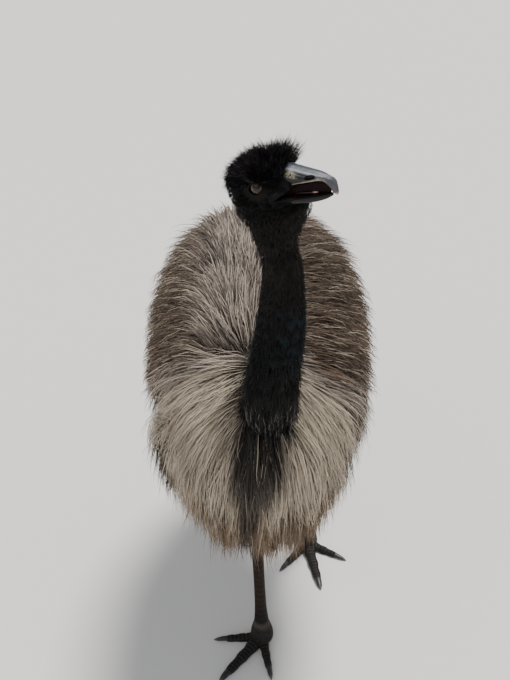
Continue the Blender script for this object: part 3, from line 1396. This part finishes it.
def build_claws(paint):
    """Blunt dark claws that bend down to the floor, each rooted in its toe."""
    made = []
    for leg_name, leg in LEGS.items():
        for toe, start, heading, length, half, height in toe_lines(leg):
            across = np.array([heading[1], -heading[0], 0])
            tip = start + heading * (length - 0.006)
            rings = []
            for share in np.linspace(0, 1, 24):
                size = 0.96 - 0.10 * share - 0.72 * share**3.2
                lift = height * 0.55 * (0.50 - 0.40 * share**1.5) + 0.0015
                centre = tip + heading * ((CLAW_LENGTH + 0.006) * share) + np.array([0, 0, lift])
                u, v = oval(24).T
                rings.append(centre + np.outer(half * 0.58 * size * u, across)
                             + np.outer(height * 0.25 * size * v, (0, 0, 1)))
            rings = np.array(rings)
            rings[..., 2] = np.maximum(rings[..., 2], 0.0004)
            claw = loft(f"nail_{toe}_{leg_name}", rings)
            points, normals = points_of(claw)
            run = ((points - tip) @ heading) / CLAW_LENGTH
            move_points(claw, points + normals * (0.00012 * np.sin(run * 60))[:, None])
            set_colours(claw, mix(colour(34, 32, 33), colour(84, 78, 74), soft_step(0.75, 1.1, run)))
            smooth_shade(claw)
            dress(claw, paint["claw"])
            made.append((claw, f"claw_{toe}_{leg_name}", "claw"))
    return made


# Materials


def new_material(name, roughness, **constants):
    """A new material, with its nodes, links and shader."""
    made = bpy.data.materials.new(name)
    made.use_nodes = True
    nodes, links = made.node_tree.nodes, made.node_tree.links
    shader = nodes["Principled BSDF"]
    shader.inputs["Roughness"].default_value = roughness
    for socket, value in constants.items():
        shader.inputs[socket.replace("_", " ")].default_value = value
    return made, nodes, links, shader


def textured(name, roughness, scales, strength, bump, **constants):
    """The marking's colour, varied by noise of two sizes, with a bump from the finer one."""
    made, nodes, links, shader = new_material(name, roughness, **constants)
    marking = nodes.new("ShaderNodeAttribute")
    marking.attribute_name = "Marking"
    place = nodes.new("ShaderNodeTexCoord")
    colours = marking.outputs["Color"]
    for scale in scales:
        grain = nodes.new("ShaderNodeTexNoise")
        grain.inputs["Scale"].default_value = scale
        grain.inputs["Detail"].default_value = 4.0
        links.new(place.outputs["Object"], grain.inputs["Vector"])
        ramp = nodes.new("ShaderNodeMapRange")
        ramp.inputs["From Min"].default_value, ramp.inputs["From Max"].default_value = 0.3, 0.7
        ramp.inputs["To Min"].default_value, ramp.inputs["To Max"].default_value = 1 - strength, 1 + strength
        links.new(grain.outputs["Fac"], ramp.inputs["Value"])
        times = nodes.new("ShaderNodeVectorMath")
        times.operation = "SCALE"
        links.new(colours, times.inputs[0])
        links.new(ramp.outputs["Result"], times.inputs["Scale"])
        colours = times.outputs["Vector"]
    links.new(colours, shader.inputs["Base Color"])
    if bump:
        relief = nodes.new("ShaderNodeBump")
        relief.inputs["Strength"].default_value = bump
        relief.inputs["Distance"].default_value = 0.0006
        links.new(grain.outputs["Fac"], relief.inputs["Height"])
        links.new(relief.outputs["Normal"], shader.inputs["Normal"])
    return made


def floor_material():
    made, nodes, links, shader = new_material("floor", 0.9)
    grain = nodes.new("ShaderNodeTexNoise")
    grain.inputs["Scale"].default_value = 3.0
    ramp = nodes.new("ShaderNodeValToRGB")
    ramp.color_ramp.elements[0].color = (0.70, 0.69, 0.67, 1)
    ramp.color_ramp.elements[1].color = (0.78, 0.77, 0.75, 1)
    links.new(grain.outputs["Fac"], ramp.inputs["Fac"])
    links.new(ramp.outputs["Color"], shader.inputs["Base Color"])
    return made


def build_materials():
    return {
        "skin": textured("skin", 0.66, (60, 700), 0.20, 0.5, Specular_IOR_Level=0.15),
        "coat": textured("coat", 0.66, (14, 900), 0.16, 0.0, Specular_IOR_Level=0.35),
        "black_coat": textured("black_coat", 0.62, (40, 1500), 0.20, 0.0, Specular_IOR_Level=0.12),
        "horn": textured("horn", 0.42, (90, 900), 0.18, 0.20, Specular_IOR_Level=0.35),
        "tongue": textured("tongue", 0.35, (150, 1200), 0.20, 0.4),
        "eye": textured("eye", 0.05, (300, 2500), 0.15, 0.0, Specular_IOR_Level=0.40),
        "claw": textured("claw", 0.42, (120, 1100), 0.20, 0.3),
    }


# Floor, lights and camera


def moved(at):
    return Vector(at) - Vector(ORIGIN)


def build_stage():
    floor = mesh_object("floor", [(-40, -40, 0), (40, -40, 0), (40, 40, 0), (-40, 40, 0)], [(0, 1, 2, 3)])
    floor.data.materials.append(floor_material())


def soft_sun(name, away, softness, power, tint):
    """A light from a far soft source, which lies in the direction away."""
    data = bpy.data.lights.new(name, "SUN")
    data.angle, data.energy, data.color = math.radians(softness), power, tint
    lamp = linked(name, data)
    lamp.rotation_euler = Vector(away).to_track_quat("Z", "Y").to_euler()


def build_lights():
    soft_sun("overhead", (0.20, 0.25, 1.0), 16, 4.2, (1.0, 0.98, 0.95))
    soft_sun("front", (-0.5, -1.0, 0.9), 60, 0.6, (0.96, 0.98, 1.0))
    world = bpy.data.worlds.new("studio")
    world.use_nodes = True
    world.node_tree.nodes["Background"].inputs["Color"].default_value = (0.94, 0.96, 1.0, 1)
    world.node_tree.nodes["Background"].inputs["Strength"].default_value = 0.50
    bpy.context.scene.world = world


def build_camera():
    data = bpy.data.cameras.new("camera")
    data.lens, data.sensor_width, data.sensor_fit = CAMERA_LENS, 36.0, "AUTO"
    camera = linked("camera", data)
    camera.location = moved(CAMERA_AT)
    camera.rotation_euler = (math.radians(90 - CAMERA_DOWN), 0, 0)
    bpy.context.scene.camera = camera


def finish_piece(item, slot, *nodes):
    """Moves a piece to the row's origin, lets it ride on the body and says what it stands for."""
    item.data.transform(Matrix.Translation([-c for c in ORIGIN]))
    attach(item, "root")
    if nodes:
        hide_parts(*nodes)


def main():
    paint = build_materials()
    skin = build_skin()
    set_colours(skin, skin_colours(*points_of(skin)))
    dress(skin, paint["skin"])
    ground = ground_of(skin)
    coats = []
    for number, piece in enumerate(coat_plan()):
        coat = grow_coat(ground, piece, 100 * (number + 1))
        dark = piece["slot"] in ("neck_feathers", "head_skin")
        dress(coat, paint["black_coat" if dark else "coat"])
        coats.append((coat, piece["slot"]))
    hard = build_bill(paint) + build_eyes(paint) + build_claws(paint)
    finish_piece(skin, "flank", "head", "neck_upper", "neck_lower", "torso", "rump", "tail",
                 "wing_left", "wing_right", "thigh_left", "thigh_right", "shank_left", "shank_right",
                 "foot_left", "foot_right")
    for coat, slot in coats:
        finish_piece(coat, slot)
    for item, node, slot in hard:
        finish_piece(item, slot, *[node] if node else [])
    build_stage()
    build_lights()
    build_camera()


main()
